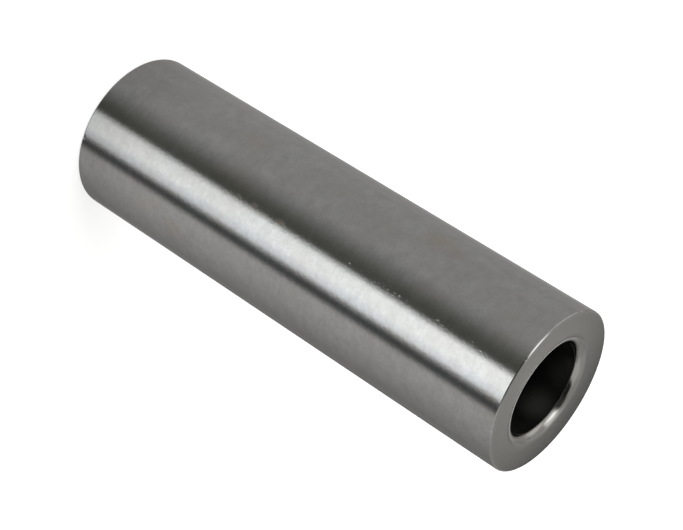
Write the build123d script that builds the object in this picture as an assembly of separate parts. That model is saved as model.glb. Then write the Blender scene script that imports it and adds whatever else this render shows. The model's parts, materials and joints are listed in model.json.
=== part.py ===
from build123d import *
import os

# Gudgeon pin: one thick-walled steel tube, turned, hardened and ground all over outside.
# It stands on one end. Z is the axis of the pin, and z = 0 is the flat of the lower end.
# All sizes are in millimetres.

# Driving dimensions
pin_diameter = 25.0
pin_length = 80.0
bore_diameter = 14.4

# The outer edge of each end is broken with a small round.
edge_break = 0.25

# Each bore mouth is rounded off, a quarter of a circle from the end face into the bore.
mouth_round = 1.4

# Worked out from the driving dimensions
pin_radius = pin_diameter / 2
bore_radius = bore_diameter / 2
mouth_radius = bore_radius + mouth_round


def upper_end():
    """The upper end's outline: X is the radius and Y the height above the lower end."""
    outer_round = CenterArc(
        center=(pin_radius - edge_break, pin_length - edge_break),
        radius=edge_break,
        start_angle=0,
        arc_size=90,
    )
    face = Line((pin_radius - edge_break, pin_length), (mouth_radius, pin_length))
    inner_round = CenterArc(
        center=(mouth_radius, pin_length - mouth_round),
        radius=mouth_round,
        start_angle=90,
        arc_size=90,
    )
    return [outer_round, face, inner_round]


def wall_section():
    """The section of the wall on one side of the axis. The lower end mirrors the upper one."""
    upper = upper_end()
    mid_plane = Plane.XZ.offset(-pin_length / 2)
    lower = [mirror(edge, about=mid_plane) for edge in upper]
    side = Line((pin_radius, edge_break), (pin_radius, pin_length - edge_break))
    bore = Line((bore_radius, mouth_round), (bore_radius, pin_length - mouth_round))
    return make_face([*upper, *lower, side, bore])


def gudgeon_pin():
    """The whole pin, one solid turned about its axis."""
    return revolve(Plane.XZ * wall_section(), axis=Axis.Z)


pin = gudgeon_pin()
pin.label = "gudgeon_pin"
pin.color = Color(0.55, 0.55, 0.53)

os.makedirs("parts", exist_ok=True)
export_step(pin, "parts/gudgeon_pin.step")
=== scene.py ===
import json
from math import cos, degrees, pi, radians, sin, tau

import bpy
from mathutils import Euler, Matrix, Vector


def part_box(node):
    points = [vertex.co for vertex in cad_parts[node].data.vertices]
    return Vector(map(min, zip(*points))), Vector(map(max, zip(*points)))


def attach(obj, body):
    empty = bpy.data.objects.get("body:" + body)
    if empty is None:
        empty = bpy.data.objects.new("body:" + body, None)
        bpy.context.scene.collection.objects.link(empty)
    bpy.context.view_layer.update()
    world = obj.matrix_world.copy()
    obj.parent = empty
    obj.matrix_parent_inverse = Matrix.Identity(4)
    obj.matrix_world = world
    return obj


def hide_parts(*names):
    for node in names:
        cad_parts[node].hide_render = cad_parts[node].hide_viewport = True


# Gudgeon pin, standing on its lower end. Z is its axis, and the floor is z = 0.
# Sizes are in millimetres, and MM turns them into the scene's metres.
MM = 0.001

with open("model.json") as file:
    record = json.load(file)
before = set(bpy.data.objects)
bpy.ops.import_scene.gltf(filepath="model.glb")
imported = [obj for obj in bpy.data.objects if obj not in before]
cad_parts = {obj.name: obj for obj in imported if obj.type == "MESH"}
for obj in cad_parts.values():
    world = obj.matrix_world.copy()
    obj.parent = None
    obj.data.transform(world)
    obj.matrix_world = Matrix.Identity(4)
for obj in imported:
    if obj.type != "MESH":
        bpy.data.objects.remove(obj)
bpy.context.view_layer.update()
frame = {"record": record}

# The pin's own sizes. The frame gives the outside, and its mounts give the bore and both rounds.
NODE = "gudgeon_pin"
mounts = {mount["name"]: mount for mount in frame["record"]["mounts"]}
pin_low, pin_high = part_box(NODE)
PIN_RADIUS = mounts["bearing_surface"]["dims"]["r_mm"]
PIN_LENGTH = (pin_high.z - pin_low.z) / MM
BORE_RADIUS = mounts["through_bore"]["dims"]["r_mm"]
EDGE_BREAK = (PIN_LENGTH - mounts["bearing_surface"]["dims"]["length_mm"]) / 2
MOUTH_ROUND = (PIN_LENGTH - mounts["through_bore"]["dims"]["length_mm"]) / 2
MOUTH_RADIUS = BORE_RADIUS + MOUTH_ROUND

# How finely the turned surface is divided, and how far from an end the side is divided finely
FACETS_ROUND = 480
SIDE_STEP = 2.0
EDGE_STEP = 0.2
BORE_STEP = 4.0
FACE_STEP = 0.5
ARC_STEP = radians(6)
RIM_HEIGHT = 2.0

# Small nicks in the outer edges: angle round the pin in degrees, which end, width and depth.
# Angle 0 is towards -Y, and it grows towards +X.
NICKS = (
    (-9.0, "upper", 0.35, 0.02),
    (41.0, "upper", 0.5, 0.04),
    (-64.0, "upper", 0.9, 0.06),
    (117.0, "upper", 0.6, 0.07),
    (-148.0, "upper", 0.8, 0.05),
    (23.0, "lower", 0.8, 0.07),
    (-95.0, "lower", 0.6, 0.06),
    (160.0, "lower", 0.7, 0.08),
)

# The camera: where it stands, how far it looks down and aside, and how far it is rolled over
CAMERA_PLACE = (0.0, -0.2345, 0.1729)
CAMERA_DOWN = 29.03
CAMERA_ASIDE = -0.12
CAMERA_ROLL = 122.38
LENS_MM = 98.42
SENSOR_MM = 36.0

# The nearest and the farthest that it sees, in metres
CAMERA_CLIP = (0.01, 10.0)

BLACK = 0x000000
WHITE = 0xFFFFFF


def linear(code):
    """The linear colour of an sRGB hex code, such as 0x8C8C89."""
    parts = [(code >> shift & 255) / 255 for shift in (16, 8, 0)]
    parts = [p / 12.92 if p <= 0.04045 else ((p + 0.055) / 1.055) ** 2.4 for p in parts]
    return (*parts, 1.0)


def add(tree, kind, inputs=None, **settings):
    """Adds a node with its settings, and fills its inputs with values or links. A Mix node has
    its share at 0, and mixes the colours at 6 and 7, or the numbers at 2 and 3."""
    node = tree.nodes.new(kind)
    for name, value in settings.items():
        setattr(node, name, value)
    for name, value in (inputs or {}).items():
        socket = node.inputs[name]
        if isinstance(value, bpy.types.NodeSocket):
            tree.links.new(value, socket)
        else:
            socket.default_value = value
    return node


# Form

def arc(centre, radius, start, turn):
    """Points on an arc of the section, (radius, height), without the first one."""
    steps = max(2, round(abs(turn) / ARC_STEP))
    angles = [start + turn * step / steps for step in range(1, steps + 1)]
    return [(centre[0] + radius * cos(a), centre[1] + radius * sin(a)) for a in angles]


def run(start, end, step):
    """Points on a straight stretch of the section, without the first one."""
    length = ((end[0] - start[0]) ** 2 + (end[1] - start[1]) ** 2) ** 0.5
    steps = max(1, round(length / step))
    shares = [step / steps for step in range(1, steps + 1)]
    return [tuple(a + (b - a) * share for a, b in zip(start, end)) for share in shares]


def upper_half():
    """The section's outline from the side's middle, over the upper end, to the bore's middle."""
    top, middle = PIN_LENGTH, PIN_LENGTH / 2
    edge_centre = (PIN_RADIUS - EDGE_BREAK, top - EDGE_BREAK)
    mouth_centre = (MOUTH_RADIUS, top - MOUTH_ROUND)

    points = [(PIN_RADIUS, middle)]
    points += run(points[-1], (PIN_RADIUS, top - RIM_HEIGHT), SIDE_STEP)
    points += run(points[-1], (PIN_RADIUS, top - EDGE_BREAK), EDGE_STEP)
    points += arc(edge_centre, EDGE_BREAK, 0, pi / 2)
    points += run(points[-1], (MOUTH_RADIUS, top), FACE_STEP)
    points += arc(mouth_centre, MOUTH_ROUND, pi / 2, pi / 2)
    points += run(points[-1], (BORE_RADIUS, middle), BORE_STEP)
    return points


def section():
    """The closed outline of the wall: the lower end mirrors the upper one."""
    upper = upper_half()
    lower = [(r, PIN_LENGTH - z) for r, z in reversed(upper[1:-1])]
    return upper + lower


# The places of the pin's three finishes in its mesh, and what is only rounding in a height
OUTSIDE, END_FACE, BORE = range(3)
ROUNDING = 1e-6


def finish_of(r, z):
    """Which finish a facet has, by the middle of its section."""
    from_end = min(z, PIN_LENGTH - z)
    if r > PIN_RADIUS - EDGE_BREAK:
        return OUTSIDE
    if from_end < ROUNDING:
        return END_FACE
    return BORE


def nicked(r, z, angle):
    """The radius of a point of the section once the nicks are knocked into the outer edges."""
    from_end = min(z, PIN_LENGTH - z)
    end = "upper" if z > PIN_LENGTH / 2 else "lower"
    for place, nick_end, width, depth in NICKS:
        away = (degrees(angle) - place + 180) % 360 - 180
        across = abs(radians(away)) * PIN_RADIUS / (width / 2)
        inward = max(from_end, PIN_RADIUS - r) / (2 * EDGE_BREAK)
        if end == nick_end and across < 1 and inward < 1:
            r -= depth * (1 - across ** 2) ** 2 * (1 - inward ** 2)
    return r


def turned_pin():
    """The pin's mesh, its section turned about Z, with one material place for each finish."""
    outline = section()
    count = len(outline)
    verts = []
    for facet in range(FACETS_ROUND):
        a = tau * facet / FACETS_ROUND
        for r, z in outline:
            r = nicked(r, z, a)
            verts.append((r * MM * sin(a), -r * MM * cos(a), z * MM))
    faces, finishes = [], []
    for facet in range(FACETS_ROUND):
        here, there = facet * count, (facet + 1) % FACETS_ROUND * count
        for i in range(count):
            j = (i + 1) % count
            faces.append((here + i, there + i, there + j, here + j))
            middle = [(a + b) / 2 for a, b in zip(outline[i], outline[j])]
            finishes.append(finish_of(*middle))
    mesh = bpy.data.meshes.new("finished_pin")
    mesh.from_pydata(verts, [], faces)
    mesh.polygons.foreach_set("material_index", finishes)
    mesh.shade_smooth()
    pin = bpy.data.objects.new("finished_pin", mesh)
    bpy.context.scene.collection.objects.link(pin)
    weighted = pin.modifiers.new("even_shading", "WEIGHTED_NORMAL")
    weighted.keep_sharp = False
    return pin


# Finishes

def new_material(name):
    """An empty material and its node tree."""
    material = bpy.data.materials.new(name)
    material.use_nodes = True
    material.node_tree.nodes.clear()
    return material, material.node_tree


def place_on_pin(tree):
    """The place on the pin in millimetres, from the middle of its lower end."""
    place = add(tree, "ShaderNodeTexCoord").outputs["Object"]
    place = add(tree, "ShaderNodeVectorMath", {0: place, "Scale": 1 / MM}, operation="SCALE")
    return place.outputs["Vector"]


def from_axis(tree, place):
    """How far a place is from the pin's axis, in millimetres."""
    parts = add(tree, "ShaderNodeSeparateXYZ", {"Vector": place}).outputs
    flat = add(tree, "ShaderNodeCombineXYZ", {"X": parts["X"], "Y": parts["Y"]}).outputs[0]
    return add(tree, "ShaderNodeVectorMath", {0: flat}, operation="LENGTH").outputs["Value"]


def grain_of(sizes):
    """The scale of a pattern whose grain has these sizes in millimetres along X, Y and Z."""
    return tuple(1 / size for size in sizes)


def spot(tree, place, angle, radius, height, round_mm, along_mm):
    """1 in the middle of a soft spot, 0 outside it: round_mm wide and along_mm high."""
    a = radians(angle)
    middle = (-radius * sin(a), radius * cos(a), -height)
    away = add(tree, "ShaderNodeVectorMath", {0: place, 1: middle}, operation="ADD").outputs[0]
    shape = (2 / round_mm, 2 / round_mm, 2 / along_mm)
    away = add(tree, "ShaderNodeVectorMath", {0: away, 1: shape}, operation="MULTIPLY").outputs[0]
    away = add(tree, "ShaderNodeVectorMath", {0: away}, operation="LENGTH").outputs["Value"]
    share = add(tree, "ShaderNodeMapRange", {
        "Value": away,
        "From Min": 0.0,
        "From Max": 1.0,
        "To Min": 1.0,
        "To Max": 0.0,
    }, interpolation_type="SMOOTHSTEP")
    return share.outputs["Result"]


# The outside
STEEL_DARK, STEEL_PALE, STEEL_WARM = 0x888887, 0xBDBDBC, 0xA39E99
STAIN_BROWN = 0xA3988A
RUST_BROWN = 0x7E6552
# A paler steel colour, painted on the upper outer edge as a highlight
EDGE_PAINTED_HIGHLIGHT = 0xC8C8C6

# The sizes of its patterns along X, Y and Z. Grinding leaves marks that run round the pin. Real
# ones are a few hundredths of a millimetre apart, and these are drawn at 0.3 mm to show.
MARKS = (9.0, 9.0, 0.3)

# Lapping leaves a mottle, from two millimetres down to a tenth of one across, and the marks
# count this much beside it.
MOTTLE = (2.0, 2.0, 1.7)
MARKS_SHARE = 0.18

# Broad soft clouds, a few millimetres across
CLOUDS = (5.0, 5.0, 7.0)

# The lapped surface isn't quite true: it leans by a fraction of a degree.
WAVES = (0.6, 0.6, 0.5)
WAVE_DEPTH = 0.008

# Each cell of this size holds one handling scratch, which reaches over so much of it and is
# drawn a tenth of a millimetre wide, so that it shows. Then its depth and its lean off the axis.
SCRATCHES = (0.22, 0.22, 0.7)
SCRATCH_REACH = 0.42
SCRATCH_DEPTH = 0.013
SCRATCH_LEAN = radians(9)

# Painted shade at the lower end: how far up it reaches, and how dark it is at the foot
FOOT_SHADE_HEIGHT = 15.0
SHADE_AT_FOOT = 0.16

# Faint brown stains of old oil: angle, height, width round the pin and along it, strength
STAINS = (
    (-51, 58.6, 6.0, 9.0, 0.42),
    (-47, 62.0, 3.0, 4.0, 0.25),
    (46, 20.5, 4.0, 6.0, 0.42),
    (-37, 43.0, 5.0, 10.0, 0.15),
    (-40, 26.0, 5.0, 8.0, 0.12),
    (1.6, 35.0, 1.1, 14.0, 0.35),
    (150, 50.0, 8.0, 8.0, 0.30),
    (-140, 25.0, 7.0, 9.0, 0.30),
)

# Specks of rust, the same way
RUST = (
    (-0.5, 29.7, 0.7, 1.2, 0.4),
    (1.8, 31.1, 0.5, 0.8, 0.25),
    (-0.6, 32.8, 0.9, 1.7, 0.55),
    (-0.3, 37.8, 0.9, 2.3, 0.7),
    (2.2, 36.9, 0.4, 0.7, 0.3),
    (0.6, 43.4, 0.5, 0.6, 0.3),
    (-118, 64.0, 0.6, 0.9, 0.6),
    (133, 22.0, 0.5, 0.7, 0.6),
)

# Where the side is scuffed by handling, the same way, and how much it is scuffed elsewhere
SCUFFED = (
    (0.8, 30.5, 1.7, 6.0, 0.6),
    (2.3, 38.0, 1.4, 8.0, 0.6),
    (-0.6, 50.5, 2.2, 8.0, 0.8),
    (-0.5, 58.5, 2.2, 10.0, 0.8),
    (-0.6, 67.0, 2.2, 8.0, 0.7),
    (0.8, 73.5, 2.0, 9.0, 0.7),
    (27.0, 73.0, 1.8, 9.0, 0.4),
    (27.5, 44.0, 1.4, 12.0, 0.3),
    (-60.0, 52.0, 9.0, 14.0, 0.4),
    (95.0, 40.0, 8.0, 20.0, 0.5),
    (-150.0, 60.0, 9.0, 16.0, 0.5),
)
SCUFFED_ELSEWHERE = 0.03

# Painted highlights, a paler colour on the upper outer edge: angle, width round the pin; and its
# height
PAINTED_EDGE_HIGHLIGHTS = (
    (-18.0, 7.6),
    (112.0, 5.0),
)
EDGE_HIGHLIGHT_HEIGHT = 0.9


def lapped_tone(tree, place, marks, clouds):
    """The bare steel's colour: marks and mottle, and a warmer tone in the clouds."""
    mottle = add(tree, "ShaderNodeMapping", {"Vector": place, "Scale": grain_of(MOTTLE)})
    mottle = add(tree, "ShaderNodeTexNoise", {
        "Vector": mottle.outputs[0],
        "Scale": 1.0,
        "Detail": 4.5,
        "Roughness": 0.8,
    }).outputs["Fac"]
    tone = add(tree, "ShaderNodeMix", {0: MARKS_SHARE, 2: mottle, 3: marks}).outputs[0]
    colour = add(tree, "ShaderNodeMix", {
        0: tone,
        6: linear(STEEL_DARK),
        7: linear(STEEL_PALE),
    }, data_type="RGBA").outputs[2]
    warm = add(tree, "ShaderNodeMapRange", {
        "Value": clouds,
        "From Min": 0.4,
        "From Max": 0.75,
        "To Min": 0.0,
        "To Max": 0.5,
    }).outputs["Result"]
    return add(tree, "ShaderNodeMix", {
        0: warm,
        6: colour,
        7: linear(STEEL_WARM),
    }, data_type="RGBA").outputs[2]


def stains_and_edge_highlight(tree, place, colour, clouds):
    """The same colour with its stains, patchy with the clouds, and a painted highlight on its edge.
    """
    # The clouds are about a half on the whole, so each strength is doubled.
    for angle, height, round_mm, along_mm, strength in STAINS:
        stain = spot(tree, place, angle, PIN_RADIUS, height, round_mm, along_mm)
        stain = add(tree, "ShaderNodeMath", {0: stain, 1: clouds}, operation="MULTIPLY")
        stain = add(tree, "ShaderNodeMath", {
            0: stain.outputs[0],
            1: 2 * strength,
        }, operation="MULTIPLY").outputs[0]
        colour = add(tree, "ShaderNodeMix", {
            0: stain,
            6: colour,
            7: linear(STAIN_BROWN),
        }, data_type="RGBA").outputs[2]
    # A paler colour is painted on the upper outer edge as a highlight.
    for angle, round_mm in PAINTED_EDGE_HIGHLIGHTS:
        edge_highlight = spot(tree, place, angle, PIN_RADIUS, PIN_LENGTH, round_mm, EDGE_HIGHLIGHT_HEIGHT)
        colour = add(tree, "ShaderNodeMix", {
            0: edge_highlight,
            6: colour,
            7: linear(EDGE_PAINTED_HIGHLIGHT),
        }, data_type="RGBA").outputs[2]
    return colour


def foot_with_painted_shade(tree, place, colour):
    """The same colour with painted shade that darkens the lower end a little."""
    up = add(tree, "ShaderNodeSeparateXYZ", {"Vector": place}).outputs["Z"]
    painted_shade = add(tree, "ShaderNodeMapRange", {
        "Value": up,
        "From Min": 0.0,
        "From Max": FOOT_SHADE_HEIGHT,
        "To Min": SHADE_AT_FOOT,
        "To Max": 0.0,
    }, interpolation_type="SMOOTHSTEP").outputs["Result"]
    return add(tree, "ShaderNodeMix", {
        0: painted_shade,
        6: colour,
        7: linear(BLACK),
    }, data_type="RGBA").outputs[2]


def rust_on_side(tree, place):
    """How much of the steel is covered with rust, from 0 to 1."""
    rust = 0.0
    for angle, height, round_mm, along_mm, strength in RUST:
        rust = add(tree, "ShaderNodeMath", {
            0: spot(tree, place, angle, PIN_RADIUS, height, round_mm, along_mm),
            1: strength,
            2: rust,
        }, operation="MULTIPLY_ADD").outputs[0]
    return rust


def lapped_relief(tree, place):
    """The lean of the lapped surface, a fraction of a degree, and the scratches in it."""
    waves = add(tree, "ShaderNodeMapping", {"Vector": place, "Scale": grain_of(WAVES)})
    waves = add(tree, "ShaderNodeTexNoise", {
        "Vector": waves.outputs[0],
        "Scale": 1.0,
        "Detail": 3.0,
        "Roughness": 0.7,
    }).outputs["Fac"]
    lean = add(tree, "ShaderNodeBump", {
        "Strength": 1.0,
        "Distance": WAVE_DEPTH * MM,
        "Height": waves,
    }).outputs["Normal"]
    # Handling scratches lie nearly along the pin, where it was pushed through its bosses. They
    # are more or less deep, hardly there on the whole, and plain where the side is scuffed.
    cells = add(tree, "ShaderNodeMapping", {
        "Vector": place,
        "Rotation": (0.0, SCRATCH_LEAN, 0.0),
        "Scale": SCRATCHES,
    }, vector_type="TEXTURE").outputs[0]
    cells = add(tree, "ShaderNodeTexVoronoi", {
        "Vector": cells,
        "Scale": 1.0,
        "Randomness": 1.0,
    }).outputs
    scratch = add(tree, "ShaderNodeMapRange", {
        "Value": cells["Distance"],
        "From Min": 0.0,
        "From Max": SCRATCH_REACH,
        "To Min": 1.0,
        "To Max": 0.0,
    }).outputs["Result"]
    depth = add(tree, "ShaderNodeSeparateColor", {"Color": cells["Color"]}).outputs["Red"]
    scratch = add(tree, "ShaderNodeMath", {0: scratch, 1: depth}, operation="MULTIPLY").outputs[0]
    scuffed = SCUFFED_ELSEWHERE
    for angle, height, round_mm, along_mm, strength in SCUFFED:
        scuffed = add(tree, "ShaderNodeMath", {
            0: spot(tree, place, angle, PIN_RADIUS, height, round_mm, along_mm),
            1: strength,
            2: scuffed,
        }, operation="MULTIPLY_ADD").outputs[0]
    scratch = add(tree, "ShaderNodeMath", {0: scratch, 1: scuffed}, operation="MULTIPLY")
    return add(tree, "ShaderNodeBump", {
        "Strength": 1.0,
        "Distance": SCRATCH_DEPTH * MM,
        "Height": scratch.outputs[0],
        "Normal": lean,
    }, invert=True).outputs["Normal"]


def ground_outside():
    """Hardened steel, ground and lapped round its axis: it mirrors sharply round the pin and
    blurs along it, with fine marks that run round it."""
    material, tree = new_material("ground_and_lapped_steel")
    place = place_on_pin(tree)
    marks = add(tree, "ShaderNodeMapping", {"Vector": place, "Scale": grain_of(MARKS)})
    marks = add(tree, "ShaderNodeTexNoise", {
        "Vector": marks.outputs[0],
        "Scale": 1.0,
        "Detail": 2.0,
        "Roughness": 0.6,
    }).outputs["Fac"]
    clouds = add(tree, "ShaderNodeMapping", {"Vector": place, "Scale": grain_of(CLOUDS)})
    clouds = add(tree, "ShaderNodeTexNoise", {
        "Vector": clouds.outputs[0],
        "Scale": 1.0,
        "Detail": 2.0,
    }).outputs["Fac"]

    colour = lapped_tone(tree, place, marks, clouds)
    colour = stains_and_edge_highlight(tree, place, colour, clouds)
    # Painted shade, darker towards the lower end
    colour = foot_with_painted_shade(tree, place, colour)
    # Rust lies on the steel as a dull brown powder, so the metal is gone from there.
    rust = rust_on_side(tree, place)
    colour = add(tree, "ShaderNodeMix", {
        0: rust,
        6: colour,
        7: linear(RUST_BROWN),
    }, data_type="RGBA").outputs[2]
    metallic = add(tree, "ShaderNodeMath", {0: 1.0, 1: rust}, operation="SUBTRACT").outputs[0]
    roughness = add(tree, "ShaderNodeMapRange", {
        "Value": marks,
        "From Min": 0.3,
        "From Max": 0.7,
        "To Min": 0.168,
        "To Max": 0.182,
    }).outputs["Result"]
    shader = add(tree, "ShaderNodeBsdfPrincipled", {
        "Base Color": colour,
        "Metallic": metallic,
        "Roughness": roughness,
        "Specular IOR Level": 0.1,
        "Anisotropic": 0.82,
        "Anisotropic Rotation": 0.25,
        "Normal": lapped_relief(tree, place),
    })
    add(tree, "ShaderNodeOutputMaterial", {"Surface": shader.outputs["BSDF"]})
    return material


# The end face
FACE_DARK, FACE_PALE = 0x9F9E9A, 0xBBBAB6
FACE_TINT = 0x9E8980
# A paler colour, painted next to the mouth as a highlight
RIM_PAINTED_HIGHLIGHT = 0xD8D7D3

# How large the grit's marks are and how far its rings are apart, both drawn coarser than the
# real ones so that they show, how much the rings count beside the marks, and how deep these are
GRIT = 0.25
RINGS = 0.2
RINGS_SHARE = 0.3
GRIT_DEPTH = 0.0015

# Painted shade darkens the face: how much beside the mouth where Y is 0, and how much
# more for each millimetre towards +Y and for each one outwards
FACE_PAINTED_SHADE = 0.175
FACE_SHADE_TOWARDS_Y = 0.018
FACE_SHADE_OUTWARDS = 0.05

# The painted shade is deeper where the face rounds over into the mouth: how dark it is there, how
# far to each side it keeps that and how far it reaches, and from which Y to which Y it comes in
MOUTH_PAINTED_SHADE = 0.2
MOUTH_SHADE_REACH = (0.15, 0.55)
MOUTH_SHADE_Y = (1.5, 5.0)

# Towards -Y a highlight is painted on the face next to the mouth: how bright, how far from the
# mouth it keeps that and how far it reaches, and the width of the patch
RIM_HIGHLIGHT_STRENGTH = 0.5
RIM_HIGHLIGHT_REACH = (0.15, 0.75)
RIM_HIGHLIGHT_PATCH = 13.0

# Reddish specks and brown tints on the upper end face: angle, radius, width, strength
FACE_SPECKS = (
    (147.0, 11.1, 0.45, 0.7),
    (150.0, 10.0, 2.6, 0.35),
    (-150.0, 10.6, 0.35, 0.5),
    (70.0, 10.9, 0.4, 0.4),
)


def painted_shade_round_mouth(tree, place):
    """How dark the painted shade is where the face rounds over into the mouth, towards +Y."""
    away = add(tree, "ShaderNodeMath", {
        0: from_axis(tree, place),
        1: MOUTH_RADIUS,
    }, operation="SUBTRACT")
    away = add(tree, "ShaderNodeMath", {0: away.outputs[0]}, operation="ABSOLUTE").outputs[0]
    ring = add(tree, "ShaderNodeMapRange", {
        "Value": away,
        "From Min": MOUTH_SHADE_REACH[0],
        "From Max": MOUTH_SHADE_REACH[1],
        "To Min": MOUTH_PAINTED_SHADE,
        "To Max": 0.0,
    }, interpolation_type="SMOOTHSTEP").outputs["Result"]
    side = add(tree, "ShaderNodeMapRange", {
        "Value": add(tree, "ShaderNodeSeparateXYZ", {"Vector": place}).outputs["Y"],
        "From Min": MOUTH_SHADE_Y[0],
        "From Max": MOUTH_SHADE_Y[1],
        "To Min": 0.0,
        "To Max": 1.0,
    }).outputs["Result"]
    return add(tree, "ShaderNodeMath", {0: ring, 1: side}, operation="MULTIPLY").outputs[0]


def painted_shade_on_face(tree, place, outwards):
    """How dark the painted shade is on the whole end face, darker towards +Y and outwards."""
    painted_shade = add(tree, "ShaderNodeMath", {
        0: add(tree, "ShaderNodeSeparateXYZ", {"Vector": place}).outputs["Y"],
        1: FACE_SHADE_TOWARDS_Y,
        2: FACE_PAINTED_SHADE,
    }, operation="MULTIPLY_ADD").outputs[0]
    painted_shade = add(tree, "ShaderNodeMath", {
        0: outwards,
        1: FACE_SHADE_OUTWARDS,
        2: painted_shade,
    }, operation="MULTIPLY_ADD").outputs[0]
    return add(tree, "ShaderNodeMath", {
        0: painted_shade,
        1: painted_shade_round_mouth(tree, place),
    }, operation="ADD").outputs[0]


def ground_face():
    """The same steel, ground flat on the end: a fine even grain in faint rings."""
    material, tree = new_material("ground_end_face")
    place = place_on_pin(tree)
    grit = add(tree, "ShaderNodeTexNoise", {
        "Vector": place,
        "Scale": 1 / GRIT,
        "Detail": 3.0,
        "Roughness": 0.7,
    }).outputs["Fac"]
    away = from_axis(tree, place)
    rings = add(tree, "ShaderNodeTexNoise", {
        "W": away,
        "Scale": 1 / RINGS,
        "Detail": 2.0,
    }, noise_dimensions="1D").outputs["Fac"]
    tone = add(tree, "ShaderNodeMix", {0: RINGS_SHARE, 2: grit, 3: rings}).outputs[0]
    colour = add(tree, "ShaderNodeMix", {
        0: tone,
        6: linear(FACE_DARK),
        7: linear(FACE_PALE),
    }, data_type="RGBA").outputs[2]
    outwards = add(tree, "ShaderNodeMath", {
        0: away,
        1: MOUTH_RADIUS,
    }, operation="SUBTRACT").outputs[0]
    # Painted shade: the face darker towards +Y and outwards, and where it rounds into the mouth.
    colour = add(tree, "ShaderNodeMix", {
        0: painted_shade_on_face(tree, place, outwards),
        6: colour,
        7: linear(BLACK),
    }, data_type="RGBA").outputs[2]

    # A painted highlight: the face is paler next to the mouth towards -Y.
    rim_highlight = add(tree, "ShaderNodeMapRange", {
        "Value": outwards,
        "From Min": RIM_HIGHLIGHT_REACH[0],
        "From Max": RIM_HIGHLIGHT_REACH[1],
        "To Min": RIM_HIGHLIGHT_STRENGTH,
        "To Max": 0.0,
    }, interpolation_type="SMOOTHSTEP").outputs["Result"]
    rim_highlight = add(tree, "ShaderNodeMath", {
        0: rim_highlight,
        1: spot(tree, place, 0, MOUTH_RADIUS, PIN_LENGTH, RIM_HIGHLIGHT_PATCH, RIM_HIGHLIGHT_PATCH),
    }, operation="MULTIPLY").outputs[0]
    colour = add(tree, "ShaderNodeMix", {
        0: rim_highlight,
        6: colour,
        7: linear(RIM_PAINTED_HIGHLIGHT),
    }, data_type="RGBA").outputs[2]
    for angle, radius, across, strength in FACE_SPECKS:
        speck = spot(tree, place, angle, radius, PIN_LENGTH, across, across)
        speck = add(tree, "ShaderNodeMath", {0: speck, 1: strength}, operation="MULTIPLY")
        colour = add(tree, "ShaderNodeMix", {
            0: speck.outputs[0],
            6: colour,
            7: linear(FACE_TINT),
        }, data_type="RGBA").outputs[2]
    lean = add(tree, "ShaderNodeBump", {
        "Strength": 1.0,
        "Distance": GRIT_DEPTH * MM,
        "Height": grit,
    }).outputs["Normal"]
    shader = add(tree, "ShaderNodeBsdfPrincipled", {
        "Base Color": colour,
        "Metallic": 1.0,
        "Roughness": 0.14,
        "Normal": lean,
    })
    add(tree, "ShaderNodeOutputMaterial", {"Surface": shader.outputs["BSDF"]})
    return material


# The mouth and the bore
LIP_DARK, LIP_PALE = 0x9A9995, 0xACABA7
PIT_BROWN = 0x453C38
SCALE_BLACK, SCALE_GREY = 0x080807, 0x242422
SCALE_THIN = 0x4A4A48

# The turning marks' sizes along X, Y and Z, drawn 0.15 mm apart to show
TURNED = (3.0, 3.0, 0.15)

# How many patches of the scale's ragged edge and of its soot go to a millimetre, how far that
# edge wanders up and down, over which depths the scale comes in, and over which it turns rough
RAGGED = 0.8
SOOT = 0.45
WANDER = 0.4
SCALE_STARTS = (0.88, 1.12)
SCALE_ROUGHENS = (1.05, 2.0)

# Dark specks on the upper lip: angle, radius, depth, width in millimetres
PITS = (
    (120.0, 7.74, 0.30, 0.34),
    (126.0, 7.80, 0.27, 0.20),
    (104.0, 7.95, 0.16, 0.22),
)

# Where the scale in the upper bore is thinner and greyer: angle, depth, width, strength
THIN_SCALE = (
    (163.0, 3.3, 7.0, 1.0),
    (-155.0, 2.6, 7.0, 0.45),
    (-138.0, 1.7, 3.6, 0.4),
)

# Where the polish of the upper mouth goes deeper, at its two sides: angle, width, by how much;
# and the depth that these patches are at
POLISHED_DEEPER = (
    (-100.0, 11.0, 0.35),
    (78.0, 8.0, 0.35),
)
POLISHED_AT = 1.2

# Painted shade in the start of the upper mouth's round, at its two sides: angle, width, strength;
# then how far inside the face's edge these patches are, and how high
LIP_PAINTED_SHADE = (
    (-97.0, 5.6, 0.2),
    (97.0, 5.6, 0.2),
)
LIP_SHADE_INSIDE = 0.3
LIP_SHADE_HEIGHT = 1.2


def reach_into_bore(tree, place):
    """The depth below the nearer end, as the scale's wandering edge sees it."""
    up = add(tree, "ShaderNodeSeparateXYZ", {"Vector": place}).outputs["Z"]
    down = add(tree, "ShaderNodeMath", {0: PIN_LENGTH, 1: up}, operation="SUBTRACT").outputs[0]
    depth = add(tree, "ShaderNodeMath", {0: up, 1: down}, operation="MINIMUM").outputs[0]
    ragged = add(tree, "ShaderNodeTexNoise", {
        "Vector": place,
        "Scale": RAGGED,
        "Detail": 4.0,
        "Roughness": 0.65,
    }).outputs["Fac"]
    reach = add(tree, "ShaderNodeMath", {
        0: ragged,
        1: WANDER,
        2: -WANDER / 2,
    }, operation="MULTIPLY_ADD").outputs[0]
    reach = add(tree, "ShaderNodeMath", {0: depth, 1: reach}, operation="ADD").outputs[0]
    for angle, across, further in POLISHED_DEEPER:
        deep = PIN_LENGTH - POLISHED_AT
        reach = add(tree, "ShaderNodeMath", {
            0: spot(tree, place, angle, BORE_RADIUS, deep, across, across),
            1: -further,
            2: reach,
        }, operation="MULTIPLY_ADD").outputs[0]
    return reach


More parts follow.
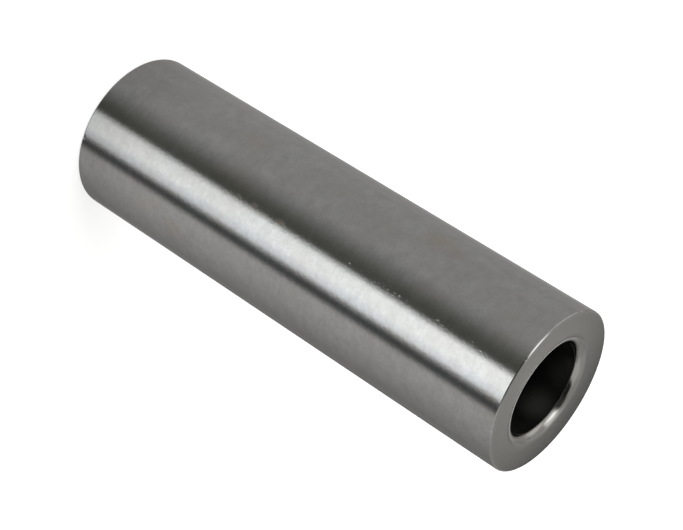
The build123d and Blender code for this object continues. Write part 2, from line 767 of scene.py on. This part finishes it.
def lip_colour(tree, place):
    """The polished steel of the mouth, with painted shade at the start of its round, and its pits.
    """
    turned = add(tree, "ShaderNodeMapping", {"Vector": place, "Scale": grain_of(TURNED)})
    turned = add(tree, "ShaderNodeTexNoise", {
        "Vector": turned.outputs[0],
        "Scale": 1.0,
        "Detail": 2.0,
    }).outputs["Fac"]
    colour = add(tree, "ShaderNodeMix", {
        0: turned,
        6: linear(LIP_DARK),
        7: linear(LIP_PALE),
    }, data_type="RGBA").outputs[2]
    painted_shade = painted_shade_round_mouth(tree, place)
    for angle, across, strength in LIP_PAINTED_SHADE:
        inside = MOUTH_RADIUS - LIP_SHADE_INSIDE
        painted_shade = add(tree, "ShaderNodeMath", {
            0: spot(tree, place, angle, inside, PIN_LENGTH, across, LIP_SHADE_HEIGHT),
            1: strength,
            2: painted_shade,
        }, operation="MULTIPLY_ADD").outputs[0]
    # Painted shade at the start of the mouth's round.
    colour = add(tree, "ShaderNodeMix", {
        0: painted_shade,
        6: colour,
        7: linear(BLACK),
    }, data_type="RGBA").outputs[2]
    for angle, radius, below, across in PITS:
        colour = add(tree, "ShaderNodeMix", {
            0: spot(tree, place, angle, radius, PIN_LENGTH - below, across, across),
            6: colour,
            7: linear(PIT_BROWN),
        }, data_type="RGBA").outputs[2]
    return colour


def scale_colour(tree, place):
    """The furnace scale's black, sooty in patches and greyer where it is thin."""
    soot = add(tree, "ShaderNodeTexNoise", {
        "Vector": place,
        "Scale": SOOT,
        "Detail": 5.0,
        "Roughness": 0.6,
    }).outputs["Fac"]
    colour = add(tree, "ShaderNodeMix", {
        0: soot,
        6: linear(SCALE_BLACK),
        7: linear(SCALE_GREY),
    }, data_type="RGBA").outputs[2]
    for angle, below, across, strength in THIN_SCALE:
        thin = spot(tree, place, angle, BORE_RADIUS, PIN_LENGTH - below, across, across)
        thin = add(tree, "ShaderNodeMath", {0: thin, 1: strength}, operation="MULTIPLY")
        colour = add(tree, "ShaderNodeMix", {
            0: thin.outputs[0],
            6: colour,
            7: linear(SCALE_THIN),
        }, data_type="RGBA").outputs[2]
    return colour


def mouth_and_bore():
    """The rounded mouth, turned and polished to a soft gleam, and below it the bore, left with
    its dark furnace scale, nearly black and dull."""
    material, tree = new_material("polished_mouth_and_furnace_scale")
    place = place_on_pin(tree)
    reach = reach_into_bore(tree, place)
    scale = add(tree, "ShaderNodeMapRange", {
        "Value": reach,
        "From Min": SCALE_STARTS[0],
        "From Max": SCALE_STARTS[1],
        "To Min": 0.0,
        "To Max": 1.0,
    }, interpolation_type="SMOOTHSTEP").outputs["Result"]
    # The scale starts smooth and thin, and turns rough further in.
    rough = add(tree, "ShaderNodeMapRange", {
        "Value": reach,
        "From Min": SCALE_ROUGHENS[0],
        "From Max": SCALE_ROUGHENS[1],
        "To Min": 0.14,
        "To Max": 0.7,
    }, interpolation_type="SMOOTHSTEP").outputs["Result"]
    colour = add(tree, "ShaderNodeMix", {
        0: scale,
        6: lip_colour(tree, place),
        7: scale_colour(tree, place),
    }, data_type="RGBA").outputs[2]
    metallic = add(tree, "ShaderNodeMath", {0: 1.0, 1: scale}, operation="SUBTRACT").outputs[0]
    shader = add(tree, "ShaderNodeBsdfPrincipled", {
        "Base Color": colour,
        "Metallic": metallic,
        "Roughness": rough,
        "Specular IOR Level": 0.1,
    })
    add(tree, "ShaderNodeOutputMaterial", {"Surface": shader.outputs["BSDF"]})
    return material


# Studio

# The bare room's light and its colour
ROOM_LIGHT = 0.5
ROOM_COLOUR = 0xFFFEFA

# What stands round the pin, as the steel mirrors it. Each panel gives: azimuth of its middle,
# half its width and the softness of its edges; how it leans; the elevations over which it comes
# in and those over which it goes out again; its level; its colour. Azimuth 0 is towards -Y and
# grows towards +X. All are in degrees, None is one that it hasn't got, and a later panel lies
# over the ones before it. A lean is the azimuth that the panel moves aside for each degree
# below an elevation, and that elevation.
PANELS = (
    # Under the pin's own height, mirrored by its side
    ("wall on the right", (110, 90, 4), (0.1, -22), None, (8, 14), 0.30, 0xFFFDFC),
    ("wall at the back, right", (150, 20, 12), None, None, (8, 14), 0.27, 0xFFFDFC),
    ("foot of the back wall", (168, 12, 5), None, (-35, -28), (8, 14), 0.20, 0xFFFDFC),
    ("fill beside the flag", (15, 90, 45), (0.1, -22), None, (8, 14), 0.71, 0xFFFDFC),
    ("wall on the left", (-75, 95, 4), None, None, (8, 14), 0.51, 0xFFFEFD),
    ("corner on the left", (-124, 6, 8), None, None, (8, 14), 0.455, 0xFFFEFD),
    ("wall at the back, left", (-153, 18, 10), None, None, (8, 14), 0.41, 0xFFFEFD),
    ("shade beside the key", (-1.5, 23.7, 21.7), None, None, (-4, 4), 0.137, 0xFCFFF0),
    ("flag", (52.2, 7.2, 5.4), (0.1, -22), None, (-4, 4), 0.097, 0xF4FAFF),
    ("key", (22.6, 15.8, 5.6), (-0.06, -22), (-62, -20), (-8, -4), 2.42, 0xFBFFFF),
    ("key's cool edge", (35.1, 4.6, 5.0), (0.1, -22), (-62, -20), (-8, -4), 2.05, 0xF5FAFF),
    ("fold in the key's edge", (4.6, 1.2, 2.0), None, (-36, -33), (-31, -28), 1.2, 0xFBFFFF),
    ("foot of the cool edge", (36, 5, 6), (0.1, -22), None, (-40, -27), 1.15, 0xF5FAFF),
    # Above it, mirrored by the end face, its edge and the mouth
    ("back wall", (180, 32, 20), None, (-12, -4), (34, 50), 0.44, 0xFFFEFC),
    ("shelf on the back wall", (180, 20, 14), None, (19, 22), (23, 27), 0.60, 0xFFFEFC),
    ("room on the right", (80, 34, 14), None, (-8, 2), (50, 72), 0.78, 0xFFFEFC),
    ("low on the right", (105, 15, 9), None, (-8, 2), (12, 26), 0.38, 0xFFFEFC),
    ("room on the left", (-87, 34, 14), None, (-8, 18), (24, 48), 1.02, 0xFFFEFC),
    ("corner over the back wall, left", (-137, 31, 12), None, (32, 39), (48, 54), 0.58, 0xFFFEFC),
    ("corner over the back wall, right", (140, 28, 12), None, (32, 39), (54, 64), 0.58, 0xFFFEFC),
    ("glow over the left", (-105, 57, 22), None, (58.5, 61.5), (74, 82), 1.2, 0xFFFEFC),
    ("glow's edge at the back", (-158, 13, 7), None, (47, 54), (72, 81), 0.70, 0xFFFEFC),
    ("side of the softbox", (-79, 21, 5), (1.42, 60), (27, 40), (64, 78), 1.35, 0xFFFFFF),
    ("dark room behind the camera", (12, 36, 7), None, (-6, -2), (50, 62), 0.06, 0xFFFFF8),
    ("darkest corner of that room", (23, 16, 10), None, (-6, -2), (50, 62), 0.02, 0xFFFFF8),
    ("dark ceiling over it", (-5, 27, 12), None, (46, 52), (60, 87), 0.06, 0xFFFFF8),
    ("left of the softbox's foot", (-60, 10, 5), None, (12, 18), (28, 38), 0.72, 0xFFFEFC),
    ("softbox on the left", (-52, 19.5, 5.5), None, (32, 52), (58, 74), 2.4, 0xFFFFFF),
    ("foot of the softbox", (-42, 10, 8), None, (4, 26), (28, 40), 1.05, 0xFFFFFF),
    ("card at the back", (180, 7, 3), None, (0, 9), (13, 17), 0.62, 0xFFFEFC),
    ("dark foot of the card", (180, 7, 3), None, (-10, -6), (0, 9), 0.10, 0xFFFEFC),
    ("light over the card", (180, 1.5, 1.5), None, (7, 9), (14, 17), 2.1, 0xFFFEFC),
    ("slot in the card", (180, 2, 2), None, (-13, -9), (8, 11), 0.02, 0xFFFEFC),
    ("gap over the card", (179, 4, 3), None, (16.5, 18), (20, 22.5), 0.08, 0xFFFEFC),
)


def at_level(level, code):
    """The light of a panel with this level and colour."""
    return tuple(level * part for part in linear(code)[:3]) + (1.0,)


def directions(tree):
    """The azimuth and the elevation of what is seen of the world, in degrees."""
    seen = add(tree, "ShaderNodeTexCoord").outputs["Generated"]
    xyz = add(tree, "ShaderNodeSeparateXYZ", {"Vector": seen}).outputs
    front = add(tree, "ShaderNodeMath", {0: xyz["Y"], 1: -1.0}, operation="MULTIPLY").outputs[0]
    azimuth = add(tree, "ShaderNodeMath", {0: xyz["X"], 1: front}, operation="ARCTAN2").outputs[0]
    elevation = add(tree, "ShaderNodeMath", {0: xyz["Z"]}, operation="ARCSINE").outputs[0]
    azimuth = add(tree, "ShaderNodeMath", {0: azimuth}, operation="DEGREES")
    elevation = add(tree, "ShaderNodeMath", {0: elevation}, operation="DEGREES")
    return azimuth.outputs[0], elevation.outputs[0]


def leaned(tree, azimuth, elevation, lean):
    """The azimuth that a leaning panel takes a direction for."""
    rate, pivot = lean
    below = add(tree, "ShaderNodeMath", {0: elevation, 1: float(-pivot)}, operation="ADD")
    below = add(tree, "ShaderNodeMath", {0: below.outputs[0], 1: 0.0}, operation="MINIMUM")
    return add(tree, "ShaderNodeMath", {
        0: below.outputs[0],
        1: rate,
        2: azimuth,
    }, operation="MULTIPLY_ADD").outputs[0]


def panel_share(tree, azimuth, elevation, span, rise, fall):
    """1 inside a panel and 0 outside it, soft at its edges."""
    middle, half, edge = span
    away = add(tree, "ShaderNodeMath", {0: azimuth, 1: float(middle)}, operation="SUBTRACT")
    away = add(tree, "ShaderNodeMath", {
        0: away.outputs[0],
        1: 180.0,
        2: -180.0,
    }, operation="WRAP")
    away = add(tree, "ShaderNodeMath", {0: away.outputs[0]}, operation="ABSOLUTE").outputs[0]
    # Each limit is 0 up to its start and 1 from its end on, and it falls where end is less.
    limits = [(away, half + edge, half - edge)]
    if rise:
        limits.append((elevation, rise[0], rise[1]))
    if fall:
        limits.append((elevation, fall[1], fall[0]))
    inside = 1.0
    for value, start, end in limits:
        share = add(tree, "ShaderNodeMapRange", {
            "Value": value,
            "From Min": float(start),
            "From Max": float(end),
            "To Min": 0.0,
            "To Max": 1.0,
        }, interpolation_type="SMOOTHSTEP").outputs["Result"]
        inside = add(tree, "ShaderNodeMath", {0: inside, 1: share}, operation="MULTIPLY").outputs[0]
    return inside


def studio():
    """The surroundings, drawn on the world as panels."""
    world = bpy.data.worlds.new("studio")
    bpy.context.scene.world = world
    world.use_nodes = True
    tree = world.node_tree
    tree.nodes.clear()
    azimuth, elevation = directions(tree)
    light = at_level(ROOM_LIGHT, ROOM_COLOUR)
    for name, span, lean, rise, fall, level, code in PANELS:
        turned = leaned(tree, azimuth, elevation, lean) if lean else azimuth
        light = add(tree, "ShaderNodeMix", {
            0: panel_share(tree, turned, elevation, span, rise, fall),
            6: light,
            7: at_level(level, code),
        }, data_type="RGBA", label=name).outputs[2]
    background = add(tree, "ShaderNodeBackground", {"Color": light, "Strength": 1.0})
    add(tree, "ShaderNodeOutputWorld", {"Surface": background.outputs[0]})


# The backdrop's sizes in metres, how finely it is divided, and where its floor's rings lie
FLOOR_RADIUS = 1.6
SWEEP_RADIUS = 0.6
WALL_HEIGHT = 1.2
SWEEP_STEPS = 12
BACKDROP_SIDES = 96
FLOOR_RINGS = (0.02, 0.1, 0.3, 1.0)

# The paper's colour, and what is added to its own light where the camera sees it
PAPER = 0xFAFAFA
PAPER_WHITE = 0.6


def backdrop_mesh():
    """A floor that sweeps up into a wall all round."""
    outline = [(FLOOR_RADIUS * share, 0.0) for share in FLOOR_RINGS]
    for step in range(1, SWEEP_STEPS + 1):
        a = pi / 2 * step / SWEEP_STEPS
        outline.append((FLOOR_RADIUS + SWEEP_RADIUS * sin(a), SWEEP_RADIUS * (1 - cos(a))))
    outline.append((FLOOR_RADIUS + SWEEP_RADIUS, SWEEP_RADIUS + WALL_HEIGHT))
    verts = [(0.0, 0.0, 0.0)]
    for side in range(BACKDROP_SIDES):
        a = tau * side / BACKDROP_SIDES
        verts += [(r * cos(a), r * sin(a), z) for r, z in outline]
    count = len(outline)
    faces = []
    for side in range(BACKDROP_SIDES):
        here, there = 1 + side * count, 1 + (side + 1) % BACKDROP_SIDES * count
        faces.append((0, here, there))
        faces += [(here + i, here + i + 1, there + i + 1, there + i) for i in range(count - 1)]
    mesh = bpy.data.meshes.new("backdrop")
    mesh.from_pydata(verts, [], faces)
    mesh.shade_smooth()
    return mesh


def pale_paper():
    """Matt paper. To the camera it is as white as the photograph's, and it keeps the shadow."""
    material, tree = new_material("pale_paper")
    paper = add(tree, "ShaderNodeBsdfDiffuse", {"Color": linear(PAPER)}).outputs["BSDF"]
    seen = add(tree, "ShaderNodeLightPath").outputs["Is Camera Ray"]
    seen = add(tree, "ShaderNodeMath", {0: seen, 1: PAPER_WHITE}, operation="MULTIPLY")
    white = add(tree, "ShaderNodeEmission", {
        "Color": linear(WHITE),
        "Strength": seen.outputs[0],
    }).outputs["Emission"]
    both = add(tree, "ShaderNodeAddShader", {0: paper, 1: white}).outputs["Shader"]
    add(tree, "ShaderNodeOutputMaterial", {"Surface": both})
    return material


def backdrop():
    """The plain pale floor. The photographed pin mirrors the panels of its studio and no white
    paper, so the pin doesn't mirror the floor, and gets neither light nor shade from it."""
    mesh = backdrop_mesh()
    mesh.materials.append(pale_paper())
    floor = bpy.data.objects.new("backdrop", mesh)
    bpy.context.scene.collection.objects.link(floor)
    floor.visible_glossy = False
    floor.visible_diffuse = False
    floor.visible_shadow = False


def camera():
    """The camera, as the photograph's outline fits it."""
    data = bpy.data.cameras.new("camera")
    data.lens, data.sensor_width, data.sensor_fit = LENS_MM, SENSOR_MM, "HORIZONTAL"
    data.clip_start, data.clip_end = CAMERA_CLIP
    eye = bpy.data.objects.new("camera", data)
    bpy.context.scene.collection.objects.link(eye)
    turn = Euler((radians(90 - CAMERA_DOWN), 0, radians(CAMERA_ASIDE)))
    roll = Euler((0, 0, radians(CAMERA_ROLL)))
    eye.rotation_euler = (turn.to_matrix() @ roll.to_matrix()).to_euler()
    eye.location = CAMERA_PLACE
    bpy.context.scene.camera = eye


# The finishes come in the order of their places in the mesh: outside, end face, bore.
pin = turned_pin()
for finish in (ground_outside(), ground_face(), mouth_and_bore()):
    pin.data.materials.append(finish)
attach(pin, "root")
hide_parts(NODE)

studio()
backdrop()
camera()
bpy.context.scene.view_settings.view_transform = "Standard"
